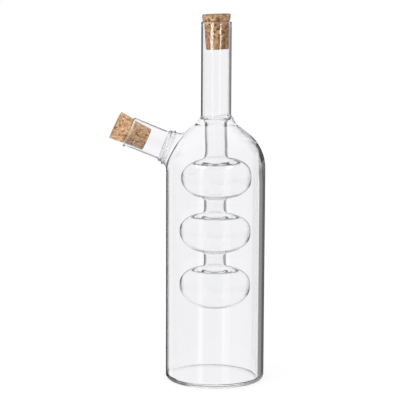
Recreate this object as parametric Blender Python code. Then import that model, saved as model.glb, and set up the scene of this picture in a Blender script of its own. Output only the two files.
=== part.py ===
"""Oil and vinegar bottle.

A cylindrical glass bottle holds one liquid and pours it through the slanted side spout. A second
vessel, a stem with three flattened bulbs, hangs inside it from the neck and holds the other liquid.
The glass is blown and flame-joined from tube sections, and a tapered cork closes each mouth.
The base stands on the ground with its centre at the origin, and the spout points along -X.
Lengths are in metres and angles in degrees.
"""

import math

import bmesh
import bpy
from mathutils import Matrix, Vector

# Outer bottle
body_radius = 0.0350
body_wall = 0.0021
base_thickness = 0.0028
heel_radius = 0.0037
inner_heel_radius = 0.0042
shoulder_start = 0.1516
shoulder_round_share = 0.877
shoulder_slope = 38.0
mouth_cut = 0.0080

# Neck and its ring seal, where the inner vessel hangs
neck_radius = 0.01062
neck_wall = 0.0014
neck_length = 0.0623
seal_spread = 0.0040
seal_skirt = 0.0018
seal_slope = 55.0
seal_foot_round = 0.0080
seal_neck_round = 0.0030
seal_bore_round = 0.0030
seal_under_round = 0.0025
seal_collar = 0.0040
seal_funnel_rise = 0.0018
seal_funnel_height = 0.0047
seal_stub = 0.0078

# Inner vessel, hung one piece below the other
stem_radius = 0.0075
link_radius = 0.0072
vessel_wall = 0.0013
bulb_to_bottle = 0.0077
stem_length = 0.0131
upper_link_length = 0.0041
lower_link_length = 0.0045
upper_rise = 0.0127
upper_fall = 0.0154
middle_rise = 0.0128
middle_fall = 0.0158
lower_rise = 0.0121
lower_fall = 0.0168
bulb_top_power = 2.6
bulb_bottom_power = 2.1
stem_flare_height = 0.0069
link_flare_height = 0.0044
foot_flare_height = 0.0015
top_flare_reach = 0.0048
foot_flare_reach = 0.0026
flare_hold_shares = (0.62, 0.45)

# Side spout, measured outwards from where its axis crosses the shoulder
spout_rise = 22.3
spout_axis_lift = 0.0011
spout_radius = 0.0103
spout_wall = 0.0012
seat_height = 0.00195
weld_length = 0.0042
weld_step = 0.0015
weld_bead = 0.0007
spout_tube_length = 0.0259
boss_waist_depth = 0.0025
boss_waist_step = 0.0012
boss_depth = 0.0100
boss_spread = 0.0035
boss_bore_depth = 0.0180
pour_lip_drop = 0.0017
pour_lip_length = 0.0028
pour_lip_spread = 52.0

# Fire-polished rim of both mouths
rim_bead = 0.00025
rim_depth = 0.0012
rim_shank = 0.0042

# Corks, whose ends are sized from the bore that each one fits
cork_length = 0.0244
cork_head_over = 0.0010
cork_end_under = 0.0011
cork_edge_round = 0.0006
cork_clearance = 0.00035
squeeze_above_lip = 0.0012
squeeze_below_lip = 0.0002
neck_cork_inserted = 0.0192
neck_cork_lean = 2.3
spout_cork_inserted = 0.0139
spout_cork_lean = 3.0

# Gap between glass sections that meet, and how finely round shapes are cut
joint_gap = 0.0003
merge_gap = 0.00001
body_sides = 48
tube_sides = 32
arc_sag = 0.00008
bulb_steps = 7
flare_steps = 4
smooth_angle = 35.0

# Bottle, worked out from the sizes above
body_bore = body_radius - body_wall
shoulder_round = body_radius * shoulder_round_share
slope_run = math.cos(math.radians(shoulder_slope))
slope_drop = math.sin(math.radians(shoulder_slope))
shoulder_half_turn = math.radians(90.0 - shoulder_slope) / 2
corner_height = shoulder_start + shoulder_round * math.tan(shoulder_half_turn)
inner_corner_height = shoulder_start + (shoulder_round - body_wall) * math.tan(shoulder_half_turn)

# Neck and ring seal, worked out
neck_bore = neck_radius - neck_wall
seal_foot_radius = neck_radius + seal_spread
bottle_mouth_radius = seal_foot_radius + seal_skirt
mouth_height = corner_height + (body_radius - bottle_mouth_radius) * slope_drop / slope_run
seal_foot_height = corner_height + (body_radius - seal_foot_radius) * slope_drop / slope_run
seal_neck_height = seal_foot_height + seal_spread * math.tan(math.radians(seal_slope))
seal_top = seal_neck_height + seal_collar
lip_height = seal_top + neck_length
funnel_top = seal_neck_height + seal_funnel_rise
funnel_foot = funnel_top - seal_funnel_height
stem_section_top = funnel_foot - seal_stub

# Inner vessel, worked out
stem_bore = stem_radius - vessel_wall
bulb_radius = body_bore - bulb_to_bottle
upper_top = stem_section_top - stem_length
upper_equator = upper_top - stem_flare_height - upper_rise
upper_foot = upper_equator - upper_fall - foot_flare_height
middle_top = upper_foot - upper_link_length
middle_equator = middle_top - link_flare_height - middle_rise
middle_foot = middle_equator - middle_fall - foot_flare_height
lower_top = middle_foot - lower_link_length
lower_equator = lower_top - link_flare_height - lower_rise

# Spout, worked out: distances run along its axis from the bottle's axis
spout_bore = spout_radius - spout_wall
spout_axis_height = shoulder_start + spout_axis_lift
crown_offset = body_radius - shoulder_round
spout_run = math.cos(math.radians(spout_rise))
spout_climb = math.sin(math.radians(spout_rise))
nearest_crown = crown_offset * spout_run - spout_axis_lift * spout_climb
crown_chord = nearest_crown ** 2 + shoulder_round ** 2 - crown_offset ** 2 - spout_axis_lift ** 2
shoulder_crossing = nearest_crown + math.sqrt(crown_chord)
weld_distance = shoulder_crossing + seat_height
weld_end = weld_distance + weld_length
spout_length = weld_end + spout_tube_length
weld_radius = spout_radius + weld_step
boss_waist_radius = weld_radius + boss_waist_step
boss_radius = boss_waist_radius + boss_spread
straight_down = Vector((0.0, -1.0))


def clear_scene():
    for item in list(bpy.data.objects):
        bpy.data.objects.remove(item, do_unlink=True)


def rounded(corners):
    """Points of an outline in the (radius, height) plane, given as corners with their fillet radii."""
    points = []
    for index, (radius, height, fillet) in enumerate(corners):
        here = Vector((radius, height))
        if not fillet:
            points.append(here)
            continue
        before = (Vector(corners[index - 1][:2]) - here).normalized()
        after = (Vector(corners[index + 1][:2]) - here).normalized()
        turn = math.pi - before.angle(after)
        centre = here + (before + after).normalized() * fillet / math.cos(turn / 2)
        spoke = here + before * fillet * math.tan(turn / 2) - centre
        way = math.copysign(turn, before.y * after.x - before.x * after.y)
        steps = max(2, math.ceil(turn / (2 * math.acos(1 - arc_sag / fillet))))
        for step in range(steps + 1):
            points.append(centre + Matrix.Rotation(way * step / steps, 2) @ spoke)
    return points


def smooth_join(start, start_way, end, end_way):
    """Inner points of a cubic curve that leaves start and reaches end along the given ways."""
    span = (end - start).length
    first = start + start_way.normalized() * span * flare_hold_shares[0]
    second = end - end_way.normalized() * span * flare_hold_shares[1]
    points = []
    for step in range(1, flare_steps):
        t = step / flare_steps
        before = start * (1 - t) ** 3 + first * 3 * t * (1 - t) ** 2
        points.append(before + second * 3 * t ** 2 * (1 - t) + end * t ** 3)
    return points


def bulb_quarter(radius, height, power, near):
    """Points of a rounded quarter from radius near, close to the axis, out to the equator."""
    first = math.acos((near / radius) ** (power / 2))
    points = []
    for step in range(bulb_steps + 1):
        angle = first * (1 - step / bulb_steps)
        points.append(Vector((radius * math.cos(angle) ** (2 / power), height * math.sin(angle) ** (2 / power))))
    return points


def bulb_face(bulb, depth):
    """The outer face of a bulb, or the face this deep inside it, from its upper tube down."""
    equator, rise, fall, top_tube, top_flare, foot_tube = bulb
    centre = Vector((0.0, equator))
    top_radius = top_tube - depth
    upper = bulb_quarter(bulb_radius - depth, rise - depth, bulb_top_power, top_radius + top_flare_reach)
    upper = [centre + point for point in upper]
    start = Vector((top_radius, equator + rise + top_flare))
    face = [start] + smooth_join(start, straight_down, upper[0], upper[1] - upper[0]) + upper
    near = foot_tube - depth + foot_flare_reach if foot_tube else 0.0
    lower = bulb_quarter(bulb_radius - depth, fall - depth, bulb_bottom_power, near)
    lower = [centre + point.reflect(straight_down) for point in reversed(lower)]
    face += lower[1:]
    if foot_tube:
        end = Vector((foot_tube - depth, equator - fall - foot_flare_height))
        face += smooth_join(lower[-1], lower[-1] - lower[-2], end, straight_down) + [end]
    return face


def turned(outline, sides):
    """Closed mesh of an outline turned about Z. It starts and ends on the axis or away from it."""
    mesh = bmesh.new()
    verts = [mesh.verts.new((point.x, 0.0, point.y)) for point in outline]
    edges = [mesh.edges.new(pair) for pair in zip(verts, verts[1:])]
    if outline[0].x > merge_gap:
        edges.append(mesh.edges.new((verts[-1], verts[0])))
    bmesh.ops.spin(
        mesh, geom=verts + edges, cent=(0, 0, 0), axis=(0, 0, 1), angle=2 * math.pi, steps=sides, use_merge=True
    )
    bmesh.ops.remove_doubles(mesh, verts=mesh.verts, dist=merge_gap)
    bmesh.ops.recalc_face_normals(mesh, faces=mesh.faces)
    return mesh


def finish_object(name, mesh, finish, parent=None):
    data = bpy.data.meshes.new(name)
    mesh.to_mesh(data)
    mesh.free()
    data.shade_smooth()
    data.set_sharp_from_angle(angle=math.radians(smooth_angle))
    piece = bpy.data.objects.new(name, data)
    bpy.context.scene.collection.objects.link(piece)
    data.materials.append(finish(name))
    piece.parent = parent
    return piece


def glass_section(name, corners, parent=None):
    return finish_object(name, turned(rounded(corners), tube_sides), clear_glass, parent)


def helper_solid(name, corners, sides, parent=None):
    """A solid for a Boolean, hidden from the render."""
    piece = finish_object(name, turned(rounded(corners), sides), clear_glass, parent)
    piece.hide_render = True
    piece.display_type = "WIRE"
    return piece


def boolean(piece, other, operation):
    step = piece.modifiers.new(other.name, "BOOLEAN")
    step.operation = operation
    step.solver = "EXACT"
    step.object = other


def principled(name, colour, roughness):
    material = bpy.data.materials.new(name)
    material.use_nodes = True
    shader = material.node_tree.nodes["Principled BSDF"]
    shader.inputs["Base Color"].default_value = colour
    shader.inputs["Roughness"].default_value = roughness
    shader.inputs["Metallic"].default_value = 0.0
    return material


def clear_glass(name):
    material = principled(name + "_glass", (0.96, 0.98, 0.98, 1.0), 0.02)
    shader = material.node_tree.nodes["Principled BSDF"]
    shader.inputs["Transmission Weight"].default_value = 1.0
    shader.inputs["IOR"].default_value = 1.47
    return material


def pressed_cork(name):
    return principled(name + "_cork", (0.56, 0.38, 0.22, 1.0), 0.85)


def make_spout_axis():
    """An empty on the bottle's axis whose Z runs out along the spout and whose X is the spout's upper side."""
    axis = bpy.data.objects.new("spout_axis", None)
    bpy.context.scene.collection.objects.link(axis)
    axis.location = (0.0, 0.0, spout_axis_height)
    axis.rotation_euler = (0.0, math.radians(spout_rise - 90.0), 0.0)
    return axis


def bottle_outside():
    return [
        (0.0, 0.0, 0.0),
        (body_radius, 0.0, heel_radius),
        (body_radius, corner_height, shoulder_round),
        (bottle_mouth_radius, mouth_height, 0.0),
        (0.0, mouth_height, 0.0),
    ]


def bottle_cavity():
    """The space inside the bottle, carried on past the cut face of its mouth."""
    past_mouth = mouth_height + mouth_cut * slope_run
    return [
        (0.0, base_thickness, 0.0),
        (body_bore, base_thickness, inner_heel_radius),
        (body_bore, inner_corner_height, shoulder_round - body_wall),
        (bottle_mouth_radius - body_wall * slope_drop, mouth_height - body_wall * slope_run, 0.0),
        (bottle_mouth_radius + mouth_cut * slope_drop, past_mouth, 0.0),
        (0.0, past_mouth, 0.0),
    ]


def spout_boss():
    """The flared seat that the bottle is drawn out into under the spout."""
    return [
        (0.0, weld_distance - boss_depth, 0.0),
        (boss_radius, weld_distance - boss_depth, 0.0),
        (boss_waist_radius, weld_distance - boss_waist_depth, 0.0),
        (weld_radius, weld_distance, 0.0),
        (0.0, weld_distance, 0.0),
    ]


def boss_bore():
    return [
        (0.0, weld_distance - boss_bore_depth, 0.0),
        (spout_bore, weld_distance - boss_bore_depth, 0.0),
        (spout_bore, weld_end, 0.0),
        (0.0, weld_end, 0.0),
    ]


def make_outer_bottle(spout_axis):
    bottle = finish_object("outer_bottle", turned(rounded(bottle_outside()), body_sides), clear_glass)
    boolean(bottle, helper_solid("boss_shape", spout_boss(), tube_sides, spout_axis), "UNION")
    boolean(bottle, helper_solid("cavity_shape", bottle_cavity(), body_sides), "DIFFERENCE")
    boolean(bottle, helper_solid("boss_bore_shape", boss_bore(), tube_sides, spout_axis), "DIFFERENCE")


def make_ring_seal():
    """The joint of neck, bottle and stem: three glass walls that meet in one ring."""
    edge_radius = bottle_mouth_radius - joint_gap
    edge_height = mouth_height + joint_gap * slope_drop / slope_run
    under_height = edge_height - body_wall / slope_run + (edge_radius - stem_radius) * slope_drop / slope_run
    glass_section("neck_ring_seal", [
        (edge_radius, edge_height, 0.0),
        (seal_foot_radius, seal_foot_height, seal_foot_round),
        (neck_radius, seal_neck_height, seal_neck_round),
        (neck_radius, seal_top, 0.0),
        (neck_bore, seal_top, 0.0),
        (neck_bore, funnel_top, seal_bore_round),
        (stem_bore, funnel_foot, seal_bore_round),
        (stem_bore, stem_section_top, 0.0),
        (stem_radius, stem_section_top, 0.0),
        (stem_radius, under_height, seal_under_round),
        (edge_radius - body_wall * slope_drop, edge_height - body_wall * slope_run, 0.0),
    ])


def tube_rim(radius, wall, end):
    """Corners of a rounded, slightly thickened rim on a tube that ends at this height, outside to inside."""
    return [
        (radius, end - rim_shank, 0.0),
        (radius + rim_bead, end - rim_depth, 0.0),
        (radius + rim_bead, end, (wall + rim_bead) / 2),
        (radius - wall, end, wall / 2),
        (radius - wall, end - rim_depth, 0.0),
    ]


def make_neck_tube():
    start = seal_top + joint_gap
    rim = tube_rim(neck_radius, neck_wall, lip_height)
    glass_section("neck_tube", [(neck_radius, start, 0.0)] + rim + [(neck_bore, start, 0.0)])


def make_straight_tube(name, radius, above, below):
    """A length of tube that fills the space between two pieces, short of each by the joint's gap."""
    bore = radius - vessel_wall
    top = above - joint_gap
    bottom = below + joint_gap
    glass_section(name, [
        (radius, bottom, 0.0),
        (radius, top, 0.0),
        (bore, top, 0.0),
        (bore, bottom, 0.0),
    ])


def make_bulb(name, bulb):
    outline = bulb_face(bulb, vessel_wall)[::-1] + bulb_face(bulb, 0.0)
    finish_object(name, turned(outline, tube_sides), clear_glass)


def make_inner_stem():
    make_straight_tube("inner_stem", stem_radius, stem_section_top, upper_top)


def make_upper_link():
    make_straight_tube("upper_link", link_radius, upper_foot, middle_top)


def make_lower_link():
    make_straight_tube("lower_link", link_radius, middle_foot, lower_top)


def make_upper_bulb():
    bulb = (upper_equator, upper_rise, upper_fall, stem_radius, stem_flare_height, link_radius)
    make_bulb("upper_bulb", bulb)


def make_middle_bulb():
    bulb = (middle_equator, middle_rise, middle_fall, link_radius, link_flare_height, link_radius)
    make_bulb("middle_bulb", bulb)


def make_lower_bulb():
    """The last bulb, closed at the bottom."""
    bulb = (lower_equator, lower_rise, lower_fall, link_radius, link_flare_height, 0.0)
    make_bulb("lower_bulb", bulb)


def make_weld_ring(spout_axis):
    """The bead of glass that joins the spout to its seat on the bottle."""
    start = weld_distance + joint_gap
    glass_section("spout_weld_ring", [
        (weld_radius, start, 0.0),
        ((weld_radius + spout_radius) / 2 + weld_bead, (start + weld_end) / 2, 0.0),
        (spout_radius, weld_end, 0.0),
        (spout_bore, weld_end, 0.0),
        (spout_bore, start, 0.0),
    ], spout_axis)


def make_spout_tube(spout_axis):
    start = weld_end + joint_gap
    rim = tube_rim(spout_radius, spout_wall, spout_length)
    mesh = turned(rounded([(spout_radius, start, 0.0)] + rim + [(spout_bore, start, 0.0)]), tube_sides)
    pull_pour_lip(mesh)
    finish_object("spout_tube", mesh, clear_glass, spout_axis)


def pull_pour_lip(mesh):
    """Draws the lower side of the rim outwards, so that the stream leaves the glass cleanly."""
    for vert in mesh.verts:
        along = (vert.co.z - spout_length + pour_lip_length) / pour_lip_length
        away = math.degrees(Vector((-1.0, 0.0)).angle(vert.co.xy)) / pour_lip_spread
        if along > 0.0 and away < 1.0:
            vert.co.x -= pour_lip_drop * along ** 2 * math.cos(away * math.pi / 2) ** 2


def make_cork(name, bore, inserted, parent=None):
    """A tapered cork, with the mouth's rim at zero height and the part below it squeezed by the bore."""
    head_radius = bore + cork_head_over
    end_radius = bore - cork_end_under
    proud = cork_length - inserted
    taper = (head_radius - end_radius) / cork_length
    at_lip = head_radius - (proud - squeeze_above_lip) * taper
    outline = rounded([
        (0.0, -inserted, 0.0),
        (end_radius, -inserted, cork_edge_round),
        (bore - cork_clearance, -squeeze_below_lip, 0.0),
        (at_lip, squeeze_above_lip, 0.0),
        (head_radius, proud, cork_edge_round),
        (0.0, proud, 0.0),
    ])
    return finish_object(name, turned(outline, tube_sides), pressed_cork, parent)


def make_neck_cork():
    cork = make_cork("neck_cork", neck_bore, neck_cork_inserted)
    cork.location = (0.0, 0.0, lip_height)
    cork.rotation_euler = (0.0, math.radians(-neck_cork_lean), 0.0)


def make_spout_cork(spout_axis):
    cork = make_cork("spout_cork", spout_bore, spout_cork_inserted, spout_axis)
    cork.location = (0.0, 0.0, spout_length)
    cork.rotation_euler = (0.0, math.radians(spout_cork_lean), 0.0)


def main():
    clear_scene()
    spout_axis = make_spout_axis()
    make_outer_bottle(spout_axis)
    make_ring_seal()
    make_neck_tube()
    make_inner_stem()
    make_upper_bulb()
    make_upper_link()
    make_middle_bulb()
    make_lower_link()
    make_lower_bulb()
    make_weld_ring(spout_axis)
    make_spout_tube(spout_axis)
    make_neck_cork()
    make_spout_cork(spout_axis)


main()
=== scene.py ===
# %% [markdown]
# # A glass oil and vinegar bottle, as it stands in a studio
#
# The bottle holds two liquids. Oil fills the tall cylinder and leaves by the slanted spout. Vinegar
# fills three squashed bulbs that hang inside the cylinder, and leaves by the neck. A cork closes each
# mouth.
#
# The packed model holds the real sizes and the joints. This lesson builds the looks around it: one
# skin of clear glass, two corks, a pale floor, soft light and a camera. Each cell defines what it
# needs, uses what the cells before it made, and prints what it found.
#
# Everything is in metres, +Z is up, and the spout points along -X.

import math
from collections import namedtuple

import bmesh
import bpy
import numpy as np
from mathutils import Matrix, Vector


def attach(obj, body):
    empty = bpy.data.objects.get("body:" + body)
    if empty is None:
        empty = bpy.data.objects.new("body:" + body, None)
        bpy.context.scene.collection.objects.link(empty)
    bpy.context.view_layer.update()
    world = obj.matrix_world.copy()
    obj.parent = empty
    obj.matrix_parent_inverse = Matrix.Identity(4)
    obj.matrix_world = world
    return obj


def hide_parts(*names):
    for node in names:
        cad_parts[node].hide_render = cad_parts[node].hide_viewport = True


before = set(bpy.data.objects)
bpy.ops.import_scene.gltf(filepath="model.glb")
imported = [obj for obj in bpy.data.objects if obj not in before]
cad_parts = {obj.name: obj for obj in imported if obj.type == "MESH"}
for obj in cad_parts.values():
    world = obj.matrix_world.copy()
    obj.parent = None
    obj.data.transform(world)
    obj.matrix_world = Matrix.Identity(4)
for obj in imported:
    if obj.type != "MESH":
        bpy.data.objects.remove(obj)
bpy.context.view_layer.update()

# %% [markdown]
# ## The sizes of the glass
#
# The parts of the bottle are fused in a flame, so its glass has no seams and is one closed skin. Boolean
# unions of tubes would leave ragged joins that glass shows at once. It is drawn instead as two lines
# in the plane of radius and height, and turned about the axis:
#
# - the air side runs from under the base, up the bottle and neck, over the lip, and down inside the
#   stem and the three bulbs;
# - the oil side lines the chamber between the bottle and the inner vessel.
#
# Where both lines run side by side, the distance between them is the wall, and light that is caught
# inside that wall makes the dark edges that let the eye read clear glass.

# %% Sizes of the glass
body_radius = 0.0350
body_wall = 0.0021
base_thickness = 0.0028
heel_round = 0.0037
inner_heel_round = 0.0020
shoulder_start = 0.1516
shoulder_round = 0.0307
slope = math.radians(38.0)
shoulder_turn = math.pi / 2 - slope

neck_radius = 0.01062
neck_bore = 0.0091
lip_height = 0.2545
seal_foot_radius = 0.01462
seal_slope = math.radians(55.0)


def shoulder_height(radius):
    """Height of the straight slope between the shoulder and the neck."""
    corner = shoulder_start + shoulder_round * math.tan(shoulder_turn / 2)
    return corner + (body_radius - radius) * math.tan(slope)


seal_foot_height = shoulder_height(seal_foot_radius)
seal_neck_height = seal_foot_height + (seal_foot_radius - neck_radius) * math.tan(seal_slope)
print("ring seal from", round(seal_foot_height * 1000, 1), "to", round(seal_neck_height * 1000, 1), "mm")

# %% [markdown]
# ## Drawing an outline
#
# An outline is a list of corners, each with the radius of its fillet. Blender's Bevel could round
# them too, but glass needs exact arcs, since a mirrored edge shows every flat. `trace` therefore walks
# along the outline in very small steps.

# %% Trace an outline
fine_step = 0.0001
fewest_arc_steps = 8


def walk(start, end):
    count = max(1, int(np.linalg.norm(end - start) / fine_step))
    return [start + (end - start) * step / count for step in range(count)]


def trace(corners):
    """Closely spaced points along corners given as (radius, height, fillet)."""
    places = [np.array(corner[:2]) for corner in corners]
    points = [places[0]]
    for before, here, after, corner in zip(places, places[1:], places[2:], corners[1:]):
        back = (before - here) / np.linalg.norm(before - here)
        ahead = (after - here) / np.linalg.norm(after - here)
        half = math.acos(np.clip(back @ ahead, -1.0, 1.0)) / 2
        reach = corner[2] / math.tan(half)
        points += walk(points[-1], here + back * reach)[1:]
        points.append(here + back * reach)
        if corner[2]:
            middle = (back + ahead) / np.linalg.norm(back + ahead)
            centre = here + middle * corner[2] / math.sin(half)
            first, last = points[-1] - centre, here + ahead * reach - centre
            count = max(fewest_arc_steps, int(corner[2] * (math.pi - 2 * half) / fine_step))
            turn = (math.pi - 2 * half) / count * np.sign(first[0] * last[1] - first[1] * last[0])
            for step in range(1, count + 1):
                c, s = math.cos(turn * step), math.sin(turn * step)
                points.append(centre + np.array([c * first[0] - s * first[1], s * first[0] + c * first[1]]))
    return points + walk(points[-1], places[-1])[1:] + [places[-1]]


print("outlines are traced in steps of", fine_step * 1000, "mm")

# %% [markdown]
# ## From a line to rows
#
# A mesh needs far fewer rows than the traced line has points. `thin_out` keeps the ones that a smooth
# surface needs: few along a straight wall, and one every few degrees round a bend. The spout will
# leave through a window in both faces, so the rows there are a set number, the same on each face.

# %% Thin out a traced line
row_turn = math.radians(6.0)
longest_row = 0.0025
window_rows = 30


def thin_out(points, window=None):
    """Rows for a surface. Between the two places in window they are evenly spaced and a set number."""
    points = np.array(points)
    steps = np.linalg.norm(np.diff(points, axis=0), axis=1)
    points = points[np.concatenate([[True], steps > 1e-9])]
    ways = np.diff(points, axis=0)
    steps = np.linalg.norm(ways, axis=1)
    distance = np.concatenate([[0.0], np.cumsum(steps)])
    heading = np.unwrap(np.arctan2(ways[:, 1], ways[:, 0]))
    turning = np.concatenate([[0.0], np.cumsum(np.abs(np.diff(heading))), [0.0]])
    turning[-1] = turning[-2]
    effort = turning / row_turn + distance / longest_row
    marks = [0.0, effort[-1]]
    if window:
        marks = [0.0, *[effort[place] for place in window], effort[-1]]
    rows = []
    for index, (low, high) in enumerate(zip(marks, marks[1:])):
        inside = window is not None and index == 1
        measure = distance if inside else effort
        start, end = np.interp([low, high], effort, measure)
        count = window_rows if inside else max(1, math.ceil(end - start))
        rows.append(np.interp(np.linspace(start, end, count, endpoint=False), measure, distance))
    where = np.concatenate(rows + [[distance[-1]]])
    first_row = len(rows[0]) if window else 0
    outline = np.stack([np.interp(where, distance, points[:, axis]) for axis in (0, 1)], axis=1)
    return outline, first_row


print("rows turn by at most", round(math.degrees(row_turn)), "degrees")

# %% [markdown]
# ## The bulbs
#
# A bulb is a squashed ball, flat on top and rounder below. A scaled sphere would have the same
# roundness everywhere, so each half is a superellipse, whose power sets how square its shoulder is. A
# cubic curve leads from the tube into the bulb, as the glass does where the flame softened it.

# %% Outside of the bulbs
stem_radius = 0.0078
link_radius = 0.0078
Bulb = namedtuple("Bulb", "waist radius rise fall tube_above flare shift")
bulbs = [
    Bulb(0.1448, 0.0250, 0.0119, 0.0154, stem_radius, 0.0076, 0.0008),
    Bulb(0.1066, 0.0253, 0.0129, 0.0158, link_radius, 0.0044, 0.0002),
    Bulb(0.0683, 0.0252, 0.0130, 0.0168, link_radius, 0.0040, 0.0002),
]
top_power = 2.4
low_power = 2.1
flare_reach = 0.0048
foot_flare = 0.0015
foot_reach = 0.0026
curve_steps = 120
quarter_steps = 260


def cubic(start, start_way, end, end_way, holds=(0.62, 0.45)):
    """A smooth curve between two places that leaves and arrives along the given ways."""
    span = np.linalg.norm(end - start)
    first = start + start_way / np.linalg.norm(start_way) * span * holds[0]
    second = end - end_way / np.linalg.norm(end_way) * span * holds[1]
    t = np.linspace(0.0, 1.0, curve_steps)[:, None]
    return list(start * (1 - t) ** 3 + first * 3 * t * (1 - t) ** 2 + second * 3 * t**2 * (1 - t) + end * t**3)


def quarter(radius, height, power, near):
    """A quarter of a superellipse, from the radius near out to its widest place."""
    angle = np.linspace(math.acos((near / radius) ** (power / 2)), 0.0, quarter_steps)
    return np.stack([radius * np.cos(angle) ** (2 / power), height * np.sin(angle) ** (2 / power)], axis=1)


def vessel_outside():
    """The outer face of the three bulbs and their links, from the stem down to the axis."""
    points = []
    down = np.array([0.0, -1.0])
    for bulb in bulbs:
        last = bulb is bulbs[-1]
        near = 0.0 if last else link_radius + foot_reach
        top = quarter(bulb.radius, bulb.rise, top_power, bulb.tube_above + flare_reach) + (0.0, bulb.waist)
        under = (quarter(bulb.radius, bulb.fall, low_power, near) * (1, -1) + (0.0, bulb.waist))[::-1]
        start = np.array([bulb.tube_above, bulb.waist + bulb.rise + bulb.flare])
        points += cubic(start, down, top[0], top[1] - top[0]) + list(top[1:]) + list(under[1:])
        if not last:
            foot = np.array([link_radius, bulb.waist - bulb.fall - foot_flare])
            points += cubic(under[-1], under[-1] - under[-2], foot, down)[1:]
    return np.array(points)


vessel_outline = vessel_outside()
vessel_top = vessel_outline[0][1]
print("inner vessel hangs from", round(vessel_top * 1000, 1), "down to", round(vessel_outline[-1][1] * 1000, 1), "mm")

# %% [markdown]
# ## The wall of the bulbs
#
# Glass that is blown out grows thin. The wall is that of the tube at the stem, thins down to the bulb's
# waist, and keeps a little extra glass at the closed end, where the maker pinched the tube off. A
# Solidify modifier knows one thickness only, so the inner line is the outer one moved in, point by
# point, by the wall at that place.

# %% Inside of the bulbs
vessel_wall = 0.0015
blown_wall = 0.00055
blown_from = stem_radius + 0.0015
blown_over = 0.0090
end_gather = 0.0012
gather_reach = 0.0140


def smoothstep(x):
    x = np.clip(x, 0.0, 1.0)
    return x * x * (3 - 2 * x)


def vessel_inside(outside):
    """The inner face: each point of the outer one moved in by the wall at that place."""
    ways = np.gradient(outside, axis=0)
    ways /= np.linalg.norm(ways, axis=1)[:, None]
    radius, height = outside[:, 0], outside[:, 1]
    blown = smoothstep((radius - blown_from) / blown_over)
    wall = vessel_wall + (blown_wall - vessel_wall) * blown
    closed_end = height < bulbs[-1].waist
    gather = blown_wall + (end_gather - blown_wall) * (1 - smoothstep(radius / gather_reach))
    wall = np.where(closed_end, gather, wall)
    inside = outside + wall[:, None] * np.stack([ways[:, 1], -ways[:, 0]], axis=1)
    inside[-1] = (0.0, height[-1] + wall[-1])
    return inside[inside[:, 0] >= 0.0]


vessel_bore = vessel_inside(vessel_outline)
print("bulbs' wall, mm:", blown_wall * 1000, "and at the closed end:", end_gather * 1000)

# %% [markdown]
# ## The air side
#
# The first line is all the glass that air or vinegar touches. Its rim is fire-polished: a flame
# softens the cut edge until it draws itself round and stands a hair proud of the tube. The neck's bore
# narrows to the stem's in a short funnel, the inside of the ring seal.

# %% Outline of the air side
funnel_top = 0.1876
funnel_foot = 0.1826
funnel_top_round = 0.005
funnel_foot_round = 0.004
seal_foot_round = 0.008
seal_neck_round = 0.003
rim_bead = 0.00008
rim_start = 0.0026
rim_start_round = 0.0016
rim_swell = 0.0011
rim_swell_round = 0.0012
rim_outer_share = 0.49
rim_inner_share = 0.45


def rim(radius, bore, end):
    """Corners of a fire-polished rim, from the outside over to the bore."""
    thickness = radius + rim_bead - bore
    return [
        (radius, end - rim_start, rim_start_round),
        (radius + rim_bead, end - rim_swell, rim_swell_round),
        (radius + rim_bead, end, thickness * rim_outer_share),
        (bore, end, thickness * rim_inner_share),
    ]


air_points = trace([
    (0.0, 0.0, 0.0),
    (body_radius, 0.0, heel_round),
    (body_radius, shoulder_height(body_radius), shoulder_round),
    (seal_foot_radius, seal_foot_height, seal_foot_round),
    (neck_radius, seal_neck_height, seal_neck_round),
    *rim(neck_radius, neck_bore, lip_height),
    (neck_bore, funnel_top, funnel_top_round),
    (vessel_bore[0][0], funnel_foot, funnel_foot_round),
    (*vessel_bore[0], 0.0),
]) + list(vessel_bore[1:])
print("air side: highest point", round(max(point[1] for point in air_points) * 1000, 1), "mm")

# %% [markdown]
# ## The oil side
#
# The second line is what the oil touches: floor, wall and shoulder, then a narrow crevice between the
# shoulder and the stem, and the outside of the inner vessel. The wall thins as the shoulder turns
# inwards, because the maker stretched the glass there.

# %% Outline of the oil side
shoulder_thinning = 0.70
shoulder_steps = 300
crevice_foot_radius = 0.0132
crevice_foot_round = 0.006
crevice_radius = 0.0099
crevice_round = 0.0009
crevice_depth = 0.0036
stem_top_round = 0.006


def wall_at(wall, turn):
    """The wall at an angle round the shoulder."""
    return wall * (1 - shoulder_thinning * smoothstep(turn / shoulder_turn))


def oil_side():
    points = trace([
        (0.0, base_thickness, 0.0),
        (body_radius - body_wall, base_thickness, inner_heel_round),
        (body_radius - body_wall, shoulder_start, 0.0),
    ])
    turn = np.linspace(0.0, shoulder_turn, shoulder_steps)
    size = shoulder_round - wall_at(body_wall, turn)
    arc = np.stack([body_radius - shoulder_round + size * np.cos(turn), shoulder_start + size * np.sin(turn)], axis=1)
    foot = shoulder_height(crevice_foot_radius) - wall_at(body_wall, turn[-1]) / math.cos(slope)
    top = foot + (crevice_foot_radius - crevice_radius) * math.tan(seal_slope)
    points += list(arc[1:-1]) + trace([
        (*arc[-1], 0.0),
        (crevice_foot_radius, foot, crevice_foot_round),
        (crevice_radius, top, crevice_round),
        (stem_radius, top - crevice_depth, stem_top_round),
        (stem_radius, vessel_top, 0.0),
    ])
    return points + list(vessel_outline[1:])


oil_points = oil_side()
print("oil side: lowest point", round(min(point[1] for point in oil_points) * 1000, 1), "mm")

# %% [markdown]
# ## The window for the spout
#
# The spout leaves through a window in both faces. It has as many rows and columns on one face as on the
# other, so that the spout's skin can be led from the edge of one window to the edge of the other.

# %% Rows of both faces
columns = 96
window_half = 9
window_bottom = 0.1475
window_top_radius = 0.0195


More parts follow.
